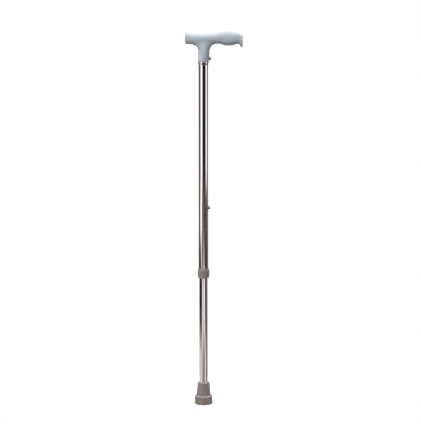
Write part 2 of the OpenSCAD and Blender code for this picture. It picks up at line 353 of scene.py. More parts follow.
def grid_faces(bm: bmesh.types.BMesh, rings: Sequence[Sequence[Any]], closed: bool) -> None:
    """Joins rings of vertices with four-sided faces.

    Args:
        bm: The mesh that holds them.
        rings: The rings, each with the same number of vertices.
        closed: Whether the last ring joins the first.
    """
    for first, second in zip(rings, [*rings[1:], rings[0]] if closed else rings[1:]):
        for i in range(len(first)):
            j = (i + 1) % len(first)
            bm.faces.new((first[i], first[j], second[j], second[i]))


def rounded(corners: Sequence[tuple[float, ...]], steps: int = 4, closed: bool = True) -> Outline:
    """Rounds the corners of an outline.

    Args:
        corners: Each corner's two coordinates, then its radius if it is rounded.
        steps: The number of pieces in a rounded corner.
        closed: Whether the last corner joins the first.

    Returns:
        The outline's points.
    """
    points: Outline = []
    count = len(corners)
    for i, (a, b, *radius) in enumerate(corners):
        here = Vector((a, b))
        ends = not closed and i in (0, count - 1)
        if not radius or ends:
            points.append((a, b))
            continue
        before, after = Vector(corners[i - 1][:2]) - here, Vector(corners[(i + 1) % count][:2]) - here
        half = before.angle(after) / 2
        reach = min(radius[0] / math.tan(half), before.length * 0.49, after.length * 0.49)
        start, end = here + before.normalized() * reach, here + after.normalized() * reach
        for k in range(steps + 1):
            t = k / steps
            p = start * (1 - t) ** 2 + here * 2 * t * (1 - t) + end * t ** 2
            points.append((p.x, p.y))
    return points


def divided(outline: Outline, longest: float, closed: bool = True) -> Outline:
    """Divides an outline's long sides.

    Args:
        outline: The outline.
        longest: The longest side that is left.
        closed: Whether the last point joins the first.

    Returns:
        The outline with more points.
    """
    points: Outline = []
    ends = [*outline[1:], outline[0]] if closed else outline[1:]
    for p, q in zip(outline, ends):
        pieces = max(1, math.ceil(math.dist(p, q) / longest))
        points += [(p[0] + (q[0] - p[0]) * k / pieces, p[1] + (q[1] - p[1]) * k / pieces) for k in range(pieces)]
    return points if closed else [*points, outline[-1]]


def turned(
    name: str, outline: Outline, steps: int = 96, axis: Axis = Axis.UP, centre: Sequence[float] = (0, 0, 0)
) -> bpy.types.Object:
    """Turns a closed outline round an axis.

    Args:
        name: The object's name.
        outline: Points of radius and height along the axis.
        steps: The number of faces round the axis.
        axis: The axis.
        centre: The point on the axis that heights start from.

    Returns:
        The turned piece.
    """
    bm = bmesh.new()
    rings = []
    for s in range(steps):
        c, n = math.cos(2 * math.pi * s / steps), math.sin(2 * math.pi * s / steps)
        ring = []
        for r, h in outline:
            place = (r * c, r * n, h) if axis is Axis.UP else (h, r * c, r * n)
            ring.append(bm.verts.new(Vector(place) + Vector(centre)))
        rings.append(ring)
    grid_faces(bm, rings, closed=True)
    return placed(name, bm)


def cut(obj: bpy.types.Object, *cutters: bpy.types.Object) -> bpy.types.Object:
    """Cuts other solids out of a piece and removes them.

    Args:
        obj: The piece.
        cutters: The solids.

    Returns:
        The piece.
    """
    for cutter in cutters:
        modifier = obj.modifiers.new("cut", "BOOLEAN")
        modifier.operation = "DIFFERENCE"
        modifier.solver = "EXACT"
        modifier.object = cutter
        applied(obj)
        bpy.data.objects.remove(cutter)
    return obj


def remeshed(obj: bpy.types.Object, voxel: float, smoothing: int) -> bpy.types.Object:
    """Makes a piece one even skin, and smooths it.

    Args:
        obj: The piece, which may be several closed solids.
        voxel: The size of the new faces.
        smoothing: The number of smoothing passes.

    Returns:
        The piece.
    """
    remesh = obj.modifiers.new("skin", "REMESH")
    remesh.mode = "VOXEL"
    remesh.voxel_size = voxel
    smooth = obj.modifiers.new("smooth", "SMOOTH")
    smooth.factor = 0.5
    smooth.iterations = smoothing
    return applied(obj)


def fitted(obj: bpy.types.Object, node: str) -> bpy.types.Object:
    """Stretches a mesh by the little that smoothing took, so that its box is a node's box again.

    Args:
        obj: The piece.
        node: The node that it stands for.

    Returns:
        The piece.
    """
    low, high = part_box(node)
    points = [v.co for v in obj.data.vertices]
    for i in range(3):
        least, most = min(p[i] for p in points), max(p[i] for p in points)
        for p in points:
            p[i] = low[i] + (p[i] - least) * (high[i] - low[i]) / (most - least)
    return obj


def seated(obj: bpy.types.Object, node: str, finish: bpy.types.Material, sharp: float = 32.0) -> bpy.types.Object:
    """Finishes a piece: its shading and its material, and hides the node that it stands for.

    Args:
        obj: The piece.
        node: The node that it stands for.
        finish: Its material.
        sharp: The angle, in degrees, past which an edge is a sharp one.

    Returns:
        The piece.
    """
    mesh = obj.data
    mesh.shade_smooth()
    mesh.set_sharp_from_angle(angle=math.radians(sharp))
    mesh.materials.clear()
    mesh.materials.append(finish)
    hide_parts(node)
    return obj


def riding(obj: bpy.types.Object, node: str) -> bpy.types.Object:
    """Has a piece ride on a node's body, and returns it."""
    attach(obj, BODY_OF[node])
    return obj


# Finishes ---------------------------------------------------------------------------------------------


@dataclass(frozen=True)
class BrightTube:
    """Bright-drawn, clear-anodised aluminium with faint lengthwise lines."""

    bright: Colour = (0.93, 0.93, 0.94)
    dull: Colour = (0.80, 0.79, 0.78)
    line_width: float = 0.6 * MM
    line_length: float = 60 * MM
    line_depth: float = 0.0006 * MM

    def material(self) -> bpy.types.Material:
        """Makes the finish."""
        s = Shader("bright_tube", Metallic=1.0)
        lines = s.noise(s.place(1 / self.line_width, 1 / self.line_width, 1 / self.line_length), 1.0, 3)
        haze = s.noise(s.place(1, 1, 0.25), 90, 3)
        scuffs = s.remap(s.noise(s.place(4, 4, 0.3), 260, 4), 0.66, 0.74)
        worn = s.math("MULTIPLY", scuffs, s.remap(haze, 0.5, 0.62))
        colour = s.tint(s.blend(s.remap(lines, 0.4, 0.75), self.bright, self.dull), worn, (0.6, 0.59, 0.58))
        rough = s.math("ADD", s.remap(haze, 0.3, 0.7, 0.03, 0.07), s.math("MULTIPLY", worn, 0.18))
        return s.dress(Base_Color=colour, Roughness=rough, Normal=s.relief(lines, self.line_depth))


@dataclass(frozen=True)
class Plating:
    """Nickel or chrome plating with faint smudges."""

    name: str = "plating"
    colour: Colour = (0.82, 0.82, 0.83)
    smudged: Colour = (0.66, 0.65, 0.64)
    rough: tuple[float, float] = (0.06, 0.16)

    def material(self) -> bpy.types.Material:
        """Makes the finish."""
        s = Shader(self.name, Metallic=1.0)
        smudge = s.remap(s.noise(s.place(1, 1, 1), 320, 4), 0.42, 0.72)
        scratch = s.noise(s.place(1, 1, 9), 1800, 2)
        return s.dress(
            Base_Color=s.blend(smudge, self.colour, self.smudged),
            Roughness=s.remap(smudge, 0.0, 1.0, *self.rough),
            Normal=s.relief(scratch, 0.002 * MM),
        )


@dataclass(frozen=True)
class SpringStrip:
    """Blue-tempered spring steel with rolling lines."""

    straw: Colour = (0.30, 0.27, 0.22)
    blue: Colour = (0.16, 0.19, 0.27)

    def material(self) -> bpy.types.Material:
        """Makes the finish."""
        s = Shader("spring_strip", Metallic=1.0)
        temper = s.remap(s.noise(s.place(1, 1, 0.6), 140, 2), 0.38, 0.62)
        rolling = s.noise(s.place(1, 12, 1), 700, 2)
        return s.dress(
            Base_Color=s.blend(temper, self.blue, self.straw),
            Roughness=s.remap(rolling, 0.3, 0.7, 0.28, 0.42),
            Normal=s.relief(rolling, 0.004 * MM),
        )


@dataclass(frozen=True)
class ZincPlate:
    """Zinc-plated steel with a faint crystal pattern."""

    light: Colour = (0.66, 0.67, 0.68)
    dark: Colour = (0.48, 0.49, 0.50)
    crystal: float = 1.6 * MM

    def material(self) -> bpy.types.Material:
        """Makes the finish."""
        s = Shader("zinc_plate", Metallic=1.0)
        cells = s.add("ShaderNodeTexVoronoi", s.place(1, 1, 1), None, 1 / self.crystal)
        shade = s.add("ShaderNodeSeparateColor", cells.outputs["Color"]).outputs[0]
        return s.dress(
            Base_Color=s.blend(shade, self.light, self.dark),
            Roughness=s.remap(shade, 0.0, 1.0, 0.3, 0.5),
            Normal=s.relief(shade, 0.004 * MM),
        )


@dataclass(frozen=True)
class GripPlastic:
    """Blue-grey moulded plastic with a fine spark-eroded grain, polished where the palm rubs."""

    body: Colour = (0.485, 0.56, 0.64)
    cloud: Colour = (0.44, 0.51, 0.575)
    handled: Colour = (0.545, 0.605, 0.66)
    grain: float = 0.85 * MM
    grain_depth: float = 0.035 * MM
    seam_w: float = 0.35 * MM

    def material(self) -> bpy.types.Material:
        """Makes the finish."""
        s = Shader("grip_plastic", Specular_IOR_Level=0.5, Subsurface_Weight=0.0)
        where = s.place(1, 1, 1)
        clouds = s.remap(s.noise(where, 45, 3), 0.35, 0.65)
        pebbles = s.add("ShaderNodeTexVoronoi", where, None, 1 / self.grain, feature="SMOOTH_F1").outputs[0]
        fine = s.noise(where, 2600, 2)
        polish = s.add("ShaderNodeAttribute", attribute_name="polish").outputs["Fac"]
        speck = s.remap(pebbles, 0.15, 0.62)
        colour = s.tint(s.blend(clouds, self.body, self.cloud), s.math("MULTIPLY", polish, 0.6), self.handled)
        colour = s.tint(colour, s.math("MULTIPLY", s.remap(speck, 0.75, 1.0), 0.16), (0.30, 0.31, 0.34))
        across = s.math("ABSOLUTE", s.add("ShaderNodeSeparateXYZ", where).outputs[1])
        seam = s.remap(across, 0.0, self.seam_w, 1.0, 0.0)
        rough = s.math("SUBTRACT", s.remap(fine, 0.3, 0.7, 0.40, 0.52), s.math("MULTIPLY", polish, 0.14))
        relief = s.relief(s.math("ADD", speck, s.math("MULTIPLY", fine, 0.35)), self.grain_depth)
        return s.dress(Base_Color=colour, Roughness=rough, Normal=s.relief(seam, 0.05 * MM, relief))


@dataclass(frozen=True)
class MouldedPlastic:
    """Plain moulded plastic: a fine grain over cloudy colour."""

    name: str = "moulded_plastic"
    colour: Colour = (0.20, 0.19, 0.19)
    cloud: Colour = (0.24, 0.23, 0.225)
    rough: tuple[float, float] = (0.28, 0.42)
    glow: float = 0.0

    def material(self) -> bpy.types.Material:
        """Makes the finish."""
        s = Shader(self.name, Subsurface_Weight=self.glow, Subsurface_Radius=(0.0012, 0.001, 0.0008))
        where = s.place(1, 1, 1)
        clouds = s.remap(s.noise(where, 150, 3), 0.35, 0.65)
        grain = s.noise(where, 3200, 3)
        scuffs = s.remap(s.noise(s.place(1, 1, 5), 520, 4), 0.64, 0.72)
        return s.dress(
            Base_Color=s.tint(s.blend(clouds, self.colour, self.cloud), s.math("MULTIPLY", scuffs, 0.25), (0.4, 0.39, 0.38)),
            Roughness=s.math("ADD", s.remap(grain, 0.3, 0.7, *self.rough), s.math("MULTIPLY", scuffs, 0.15)),
            Normal=s.relief(grain, 0.012 * MM),
        )


@dataclass(frozen=True)
class FerruleRubber:
    """Warm grey rubber, with painted top light that makes its upward faces paler, and darker towards the bottom."""

    body: Colour = (0.192, 0.149, 0.137)
    cloud: Colour = (0.162, 0.125, 0.115)
    # Pale tone of the painted top light on the upward faces
    top_light_tone: Colour = (0.40, 0.375, 0.36)
    # Darker tone towards the bottom, and the height over which it fades out
    base_dark_tone: Colour = (0.085, 0.078, 0.072)
    base_dark_h: float = 5 * MM

    def material(self) -> bpy.types.Material:
        """Makes the finish."""
        s = Shader("ferrule_rubber", Specular_IOR_Level=0.55, Sheen_Weight=0.08, Sheen_Roughness=0.5)
        where = s.place(1, 1, 1)
        clouds = s.remap(s.noise(where, 110, 4), 0.35, 0.65)
        grain = s.noise(where, 2400, 4)
        facing = s.add("ShaderNodeSeparateXYZ", s.add("ShaderNodeNewGeometry").outputs["Normal"]).outputs[2]
        height = s.add("ShaderNodeSeparateXYZ", where).outputs[2]
        # Painted top light: upward faces are made paler, mottled, as if lit from above
        painted_top_light = s.math("MULTIPLY", s.remap(facing, 0.35, 0.95), s.remap(s.noise(where, 420, 3), 0.3, 0.6, 0.45, 0.9))
        # Darker towards the bottom: strongest at the floor, gone 5 mm up
        base_darkening = s.math("MULTIPLY", s.remap(height, 0.0, self.base_dark_h, 1.0, 0.0), s.remap(grain, 0.35, 0.6, 0.35, 1.0))
        colour = s.tint(s.blend(clouds, self.body, self.cloud), painted_top_light, self.top_light_tone)
        return s.dress(
            Base_Color=s.tint(colour, s.math("MULTIPLY", base_darkening, 0.7), self.base_dark_tone),
            Roughness=s.remap(grain, 0.3, 0.7, 0.50, 0.64),
            Normal=s.relief(s.math("ADD", grain, s.math("MULTIPLY", clouds, 0.5)), 0.03 * MM),
        )


# Growing rules ----------------------------------------------------------------------------------------


def fluting() -> Growth:
    """Grooves that run up a sleeve: its skin is drawn in along evenly spaced lines.

    Returns:
        The tree. Its inputs are the number of grooves, their depth, the heights between which they run, the
        length over which they fade out, and the radius beyond which the skin lies.
    """
    g = Growth("fluting", Count=24, Depth=0.4 * MM, Low=0.0, High=0.01, Fade=1.0 * MM, Skin=0.01)
    x, y, z = g.add("ShaderNodeSeparateXYZ", g.add("GeometryNodeInputPosition").outputs[0]).outputs
    wave = g.math("COSINE", g.math("MULTIPLY", g.math("ARCTAN2", y, x), g.given["Count"]))
    groove = g.remap(wave, -0.75, 0.65, 1.0, 0.0)
    rise = g.remap(g.math("DIVIDE", g.math("SUBTRACT", z, g.given["Low"]), g.given["Fade"]), 0.0, 1.0)
    fall = g.remap(g.math("DIVIDE", g.math("SUBTRACT", g.given["High"], z), g.given["Fade"]), 0.0, 1.0)
    depth = g.math("MULTIPLY", g.math("MULTIPLY", groove, g.given["Depth"]), g.math("MULTIPLY", rise, fall))
    return drawn_in(g, x, y, depth, g.given["Skin"])


def threading() -> Growth:
    """A right-hand screw thread: a sleeve's skin is drawn in between the turns of a helix.

    Returns:
        The tree. Its inputs are the pitch, the depth, which is negative for a thread inside a bore, how narrow
        the crest is, the heights between which the thread runs, and the radii between which the skin lies.
    """
    g = Growth("threading", Pitch=2.0 * MM, Depth=0.4 * MM, Crest=0.5, Low=0.0, High=0.01, Skin=0.01, Rim=0.02)
    x, y, z = g.add("ShaderNodeSeparateXYZ", g.add("GeometryNodeInputPosition").outputs[0]).outputs
    turn = g.math("DIVIDE", g.math("ARCTAN2", y, x), 2 * math.pi)
    along = g.math("FRACT", g.math("ADD", g.math("SUBTRACT", turn, g.math("DIVIDE", z, g.given["Pitch"])), 1000.0))
    away = g.math("ABSOLUTE", g.math("SUBTRACT", g.math("MULTIPLY", along, 2.0), 1.0))
    inside = g.math("LESS_THAN", g.given["Depth"], 0.0)
    away = g.math("ADD", g.math("MULTIPLY", away, g.math("SUBTRACT", 1.0, inside)),
                  g.math("MULTIPLY", g.math("SUBTRACT", 1.0, away), inside))
    root = g.remap(away, g.math("SUBTRACT", g.given["Crest"], 0.18), g.math("ADD", g.given["Crest"], 0.18), kind="LINEAR")
    crest = g.math("SUBTRACT", 1.0, root)
    share = g.math("ADD", g.math("MULTIPLY", root, g.math("SUBTRACT", 1.0, inside)), g.math("MULTIPLY", crest, inside))
    size = g.math("ABSOLUTE", g.given["Depth"])
    band = g.math("MULTIPLY", g.remap(g.math("SUBTRACT", z, g.given["Low"]), 0.0, 0.6 * MM),
                  g.remap(g.math("SUBTRACT", g.given["High"], z), 0.0, 0.6 * MM))
    depth = g.math("MULTIPLY", g.math("MULTIPLY", share, size), band)
    return drawn_in(g, x, y, depth, g.given["Skin"], g.given["Rim"])


def drawn_in(
    g: Growth, x: Any, y: Any, depth: Any, skin: Any, rim: Any = None
) -> Growth:
    """Ends a tree by drawing a sleeve's skin towards the Z axis.

    Args:
        g: The tree.
        x: The points' first coordinate.
        y: Their second.
        depth: How far each point is drawn in.
        skin: The radius beyond which the skin lies.
        rim: The radius within which it lies, if there is one.

    Returns:
        The tree.
    """
    radius = g.math("SQRT", g.math("ADD", g.math("MULTIPLY", x, x), g.math("MULTIPLY", y, y)))
    share = g.math("DIVIDE", g.math("MULTIPLY", depth, g.math("GREATER_THAN", radius, skin)), radius)
    if rim is not None:
        share = g.math("MULTIPLY", share, g.math("LESS_THAN", radius, rim))
    back = g.math("MULTIPLY", share, -1.0)
    offset = g.add("ShaderNodeCombineXYZ", g.math("MULTIPLY", x, back), g.math("MULTIPLY", y, back)).outputs[0]
    return g.close(g.add("GeometryNodeSetPosition", g.given["Geometry"], None, None, offset).outputs[0])


def drilling() -> Growth:
    """A row of round holes through the +X wall of a tube.

    Returns:
        The tree. Its inputs are the holes' radius, how far the drill reaches, the first hole's height, the
        distance between holes and their number.
    """
    g = Growth("drilling", Radius=4.0 * MM, Reach=0.02, First=0.0, Pitch=0.025, Count=1)
    drill = g.add("GeometryNodeMeshCylinder", 64, 1, 1, g.given["Radius"], g.given["Reach"]).outputs[0]
    half = g.math("MULTIPLY", g.given["Reach"], 0.5)
    start = g.add("ShaderNodeCombineXYZ", half, 0.0, g.given["First"]).outputs[0]
    step = g.add("ShaderNodeCombineXYZ", 0.0, 0.0, g.given["Pitch"]).outputs[0]
    row = g.add("GeometryNodeMeshLine", g.given["Count"], None, start, step, mode="OFFSET")
    drills = g.add("GeometryNodeInstanceOnPoints", row.outputs[0], None, drill, None, None, (0, math.pi / 2, 0))
    real = g.add("GeometryNodeRealizeInstances", drills.outputs[0]).outputs[0]
    holes = g.add("GeometryNodeMeshBoolean", g.given["Geometry"], real, operation="DIFFERENCE", solver="EXACT")
    return g.close(holes.outputs[0])


def copies_round() -> Growth:
    """Copies of a piece, evenly spaced round the Z axis.

    Returns:
        The tree. Its inputs are the number of copies and the angle of the first, in radians.
    """
    g = Growth("copies_round", Count=8, Start=0.0)
    points = g.add("GeometryNodePoints", g.given["Count"]).outputs[0]
    turn = g.math("DIVIDE", g.math("MULTIPLY", g.add("GeometryNodeInputIndex").outputs[0], 2 * math.pi), g.given["Count"])
    angle = g.add("ShaderNodeCombineXYZ", 0.0, 0.0, g.math("ADD", turn, g.given["Start"])).outputs[0]
    copies = g.add("GeometryNodeInstanceOnPoints", points, None, g.given["Geometry"], None, None, angle)
    return g.close(copies.outputs[0])


# Sub-assemblies ---------------------------------------------------------------------------------------


@dataclass
class Handle:
    """The moulded T-handle."""

    voxel: float = 0.62 * MM
    smoothing: int = 14
    plug_wall: float = 0.55 * MM
    socket_gap: float = 0.05 * MM
    button_gap: float = 0.12 * MM
    button_out: float = 5.0 * MM
    chamfer: float = 0.45 * MM
    lip_w: float = 7.1 * MM
    groove_w: float = 0.75 * MM
    groove_depth: float = 0.35 * MM
    stem_r: float = 12.5 * MM
    belly: float = 1.1 * MM
    crotch_drop: float = 23.0 * MM
    crotch_h: float = 8.0 * MM
    crotch_w: float = 20.0 * MM
    easing: int = 260

    def build(self) -> Iterator[bpy.types.Object]:
        """Yields the handle."""
        tube_low, tube_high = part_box("upper_tube")
        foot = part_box("handle_grip")[0].z
        low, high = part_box("handle_button")
        hole = (high.z - low.z) / 2 + self.button_gap
        socket = tube_high.x + self.socket_gap
        face = high.x - self.button_out
        grip = self.skin(socket + self.plug_wall, foot, tube_high.z, hole, (high.z + low.z) / 2, face)
        remeshed(grip, self.voxel, self.smoothing)
        self.ease_crotch(grip)
        fitted(grip, "handle_grip")
        self.carve_lip(grip)
        c = self.chamfer
        bore = turned("bore", [
            (0, foot - 1 * MM), (socket + c + 1 * MM, foot - 1 * MM), (socket, foot + c),
            (socket, tube_high.z + self.socket_gap), (0, tube_high.z + self.socket_gap)], 128)
        drill = turned("drill", [
            (0, socket / 2), (hole, socket / 2), (hole, face - 2 * c), (hole + 3 * c, face + c), (hole + 3 * c, face + 4 * c),
            (0, face + 4 * c)], 72, Axis.OUT, (0, 0, (high.z + low.z) / 2))
        cut(grip, bore, drill)
        self.mark_polish(grip)
        yield riding(seated(grip, "handle_grip", GripPlastic().material(), 40), "handle_grip")

    def skin(
        self, plug: float, foot: float, top: float, hole: float, hole_z: float, face: float
    ) -> bpy.types.Object:
        """Copies the frame's handle with its socket and its button hole plugged.

        Args:
            plug: The radius of the socket's plug.
            foot: The height of the handle's foot.
            top: The height of the socket's end.
            hole: The radius of the button hole.
            hole_z: Its height.
            face: How far out the stem's skin lies there.

        Returns:
            The copy, as overlapping closed solids.
        """
        bm = bmesh.new()
        bm.from_mesh(frame["nodes"]["handle_grip"].data)
        bmesh.ops.remove_doubles(bm, verts=bm.verts, dist=1e-6)
        for radius, start, end, turn in (
            (plug, foot, top + 1 * MM, Matrix.Identity(4)),
            (hole + 0.1 * MM, 0.0, face - 0.25 * MM, Matrix.Translation((0, 0, hole_z)) @ Matrix.Rotation(math.pi / 2, 4, "Y")),
        ):
            middle = Matrix.Translation((0, 0, (start + end) / 2))
            bmesh.ops.create_cone(
                bm, cap_ends=True, segments=96, radius1=radius, radius2=radius, depth=end - start, matrix=turn @ middle)
        return placed("handle_grip_skin", bm)

    def ease_crotch(self, grip: bpy.types.Object) -> None:
        """Fills out the arms' undersides a little, and smooths the hollow where the stem runs into the arms.

        Args:
            grip: The handle's skin.
        """
        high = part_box("handle_grip")[1]
        normals = [v.normal.copy() for v in grip.data.vertices]
        for v, normal in zip(grip.data.vertices, normals):
            out = min(max(abs(v.co.x) / self.stem_r - 1.0, 0.0), 1.0) * min(max((high.x - v.co.x) / self.lip_w - 1.2, 0.0), 1.0)
            v.co.z -= self.belly * out * max(-normal.z, 0.0)
        crotch = high.z - self.crotch_drop
        group = grip.vertex_groups.new(name="crotch")
        for v in grip.data.vertices:
            near = math.exp(-((v.co.z - crotch) / self.crotch_h) ** 2 - (v.co.x / self.crotch_w) ** 4)
            group.add([v.index], near if near > 0.02 else 0.0, "REPLACE")
        ease = grip.modifiers.new("ease", "SMOOTH")
        ease.vertex_group = "crotch"
        ease.iterations = self.easing
        applied(grip)
        grip.vertex_groups.clear()

    def carve_lip(self, grip: bpy.types.Object) -> None:
        """Carves the groove that sets the lip at the long arm's end apart.

        Args:
            grip: The handle's skin.
        """
        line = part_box("handle_grip")[1].x - self.lip_w
        normals = [v.normal.copy() for v in grip.data.vertices]
        for v, normal in zip(grip.data.vertices, normals):
            depth = self.groove_depth * math.exp(-((v.co.x - line) / self.groove_w) ** 2)
            if abs(normal.x) < 0.7:
                v.co -= normal * depth

    def mark_polish(self, grip: bpy.types.Object) -> None:
        """Stores how much each point is rubbed by the palm and the fingers.

        Args:
            grip: The finished handle.
        """
        low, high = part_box("handle_grip")
        mesh = grip.data
        palm = low.lerp(high, 0.5).x + 0.02
        store = mesh.attributes.new("polish", "FLOAT", "POINT")
        values = []
        for v in mesh.vertices:
            up = max(v.normal.z, 0.0) ** 0.8 * math.exp(-((v.co.x - palm) / 0.045) ** 2)
            ends = 0.35 * math.exp(-min(v.co.x - low.x, high.x - v.co.x) / 0.002)
            values.append(min(up + ends, 1.0))
        store.data.foreach_set("value", values)


@dataclass
class SpringButton:
    """A domed button riveted to a folded spring clip."""

    node: str
    clip: str
    holder: str
    strip_t: float = 0.8 * MM
    rivet_head: float = 1.2 * MM
    dome: float = 0.68
    rivet: float = 0.4
    bend_r: float = 3.0 * MM
    kink_drop: float = 7.0 * MM

    def build(self) -> Iterator[bpy.types.Object]:
        """Yields the button and its clip."""
        low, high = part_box(self.node)
        middle = (low.z + high.z) / 2
        radius = (high.z - low.z) / 2
        yield riding(seated(self.button(low.x, high.x, radius, middle), self.node, Plating(
            "button_steel", (0.31, 0.285, 0.275), (0.22, 0.20, 0.195), (0.12, 0.26)).material()), self.node)
        clip = seated(self.strip(middle), self.clip, SpringStrip().material(), 50)
        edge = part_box(self.clip)[1].x
        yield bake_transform(clip)

    def button(self, tail: float, tip: float, radius: float, height: float) -> bpy.types.Object:
        """Turns the button.

        Args:
            tail: Where the rivet's head ends.
            tip: Where the dome ends.
            radius: The button's radius.
            height: The height of its axis.

        Returns:
            The button.
        """
        rise = self.dome * radius
        ball = (rise ** 2 + radius ** 2) / (2 * rise)
        half = math.asin(radius / ball)
        rivet = self.rivet * radius
        back = tail + self.rivet_head + self.strip_t
        dome = [(ball * math.sin(half * k / 14), tip - ball * (1 - math.cos(half * k / 14))) for k in range(13, -1, -1)]
        outline = rounded([
            (0, tail), (rivet * 1.7, tail, 0.3 * MM), (rivet, tail + self.rivet_head), (rivet, back),
            (radius, back, 0.25 * MM), (radius, tip - rise, 0.35 * MM)])
        return turned(self.node + "_turned", [*outline, *dome], 72, Axis.OUT, (0, 0, height))

    def strip(self, height: float) -> bpy.types.Object:
        """Folds the clip's strip.

        Args:
            height: The height of the button's axis.

        Returns:
            The strip.
        """
        low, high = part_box(self.clip)
        half_t = self.strip_t / 2
        pad, bend = high.x - half_t, low.z + self.bend_r + half_t
        kink, top = height - self.kink_drop, high.z - half_t
        turn = [(-self.bend_r * math.cos(math.pi * k / 16), bend - self.bend_r * math.sin(math.pi * k / 16)) for k in range(17)]
        path = divided(rounded([
            (-pad, top), (-pad, kink, 8 * MM), *turn, (pad, kink, 8 * MM), (pad, top)], 8, False), 1.2 * MM, False)
        half_w, round_r = (high.y - low.y) / 2, 0.2 * MM
        section = rounded([(-half_t, -half_w, round_r), (half_t, -half_w, round_r), (half_t, half_w, round_r),
                           (-half_t, half_w, round_r)], 2)
        bm = bmesh.new()
        rings = []
        for i, p in enumerate(path):
            q, r = path[max(i - 1, 0)], path[min(i + 1, len(path) - 1)]
            along = Vector((r[0] - q[0], r[1] - q[1])).normalized()
            rings.append([bm.verts.new((p[0] - along.y * a, b, p[1] + along.x * a)) for a, b in section])
        grid_faces(bm, rings, closed=False)
        for ring in (rings[0], rings[-1]):
            bm.faces.new(ring)
        return placed(self.clip + "_folded", bm)


@dataclass
class Tubes:
    """The two telescoping tubes and the sleeve that guides one in the other."""

    wall: float = 1.2 * MM
    button_gap: float = 0.12 * MM
    hole_pitch: float = 25.0 * MM
    rim_r: float = 0.25 * MM
    row: float = 8.0 * MM
    spigot_h: float = 10.0 * MM
    guide_ribs: int = 6

    def build(self) -> Iterator[bpy.types.Object]:
        """Yields the upper tube, the lower tube and the guide bush."""
        finish = BrightTube().material()
        low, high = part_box("height_button")
        hole, height = (high.z - low.z) / 2 + self.button_gap, (low.z + high.z) / 2
        holes = round(JOINT["height_slide"]["range_m"][1] / self.hole_pitch)
        top_low, top_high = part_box("handle_button")
        upper, lower = self.tube("upper_tube"), self.tube("lower_tube")
        drill = drilling()
        drill.grow(upper, finish, Radius=hole, First=height - holes * self.hole_pitch, Pitch=self.hole_pitch,
                   Count=2 * holes + 1)
        drill.grow(upper, finish, Radius=hole, First=(top_low.z + top_high.z) / 2)
        drill.grow(lower, finish, Radius=hole, First=height)
        yield riding(seated(upper, "upper_tube", finish), "upper_tube")
        yield riding(seated(lower, "lower_tube", finish), "lower_tube")
        yield riding(self.guide(), "guide_bush")

    def tube(self, node: str) -> bpy.types.Object:
        """Draws a plain tube.

        Args:
            node: The tube's node.

        Returns:
            The tube.
        """
        low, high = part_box(node)
        outer, inner = high.x, high.x - self.wall
        outline = rounded([(outer, low.z, self.rim_r), (outer, high.z, self.rim_r), (inner, high.z, self.rim_r),
                           (inner, low.z, self.rim_r)], 3)
        return turned(node + "_drawn", divided(outline, self.row), 160)

    def guide(self) -> bpy.types.Object:
        """Makes the ribbed sleeve at the lower tube's upper end.

        Returns:
            The sleeve.
        """
        low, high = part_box("guide_bush")
        seat = low.z + self.spigot_h
        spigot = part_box("lower_tube")[1].x - self.wall
        bore = spigot - 1.6 * MM
        outline = rounded([
            (bore, low.z), (spigot - 0.6 * MM, low.z), (spigot, low.z + 1 * MM), (spigot, seat), (high.x, seat, 0.2 * MM),
            (high.x, high.z - 0.8 * MM, 0.3 * MM), (high.x - 0.8 * MM, high.z, 0.3 * MM), (bore, high.z, 0.3 * MM)])
        sleeve = turned("guide_bush_moulded", divided(outline, 0.4 * MM), 144)
        finish = MouldedPlastic("guide_nylon", (0.03, 0.03, 0.032), (0.045, 0.045, 0.047), (0.35, 0.5)).material()
        fluting().grow(sleeve, finish, Count=self.guide_ribs, Depth=0.35 * MM, Low=seat + 0.2 * MM, High=high.z - 0.6 * MM,
                       Fade=0.5 * MM, Skin=spigot + 0.25 * MM)
        return seated(sleeve, "guide_bush", finish)


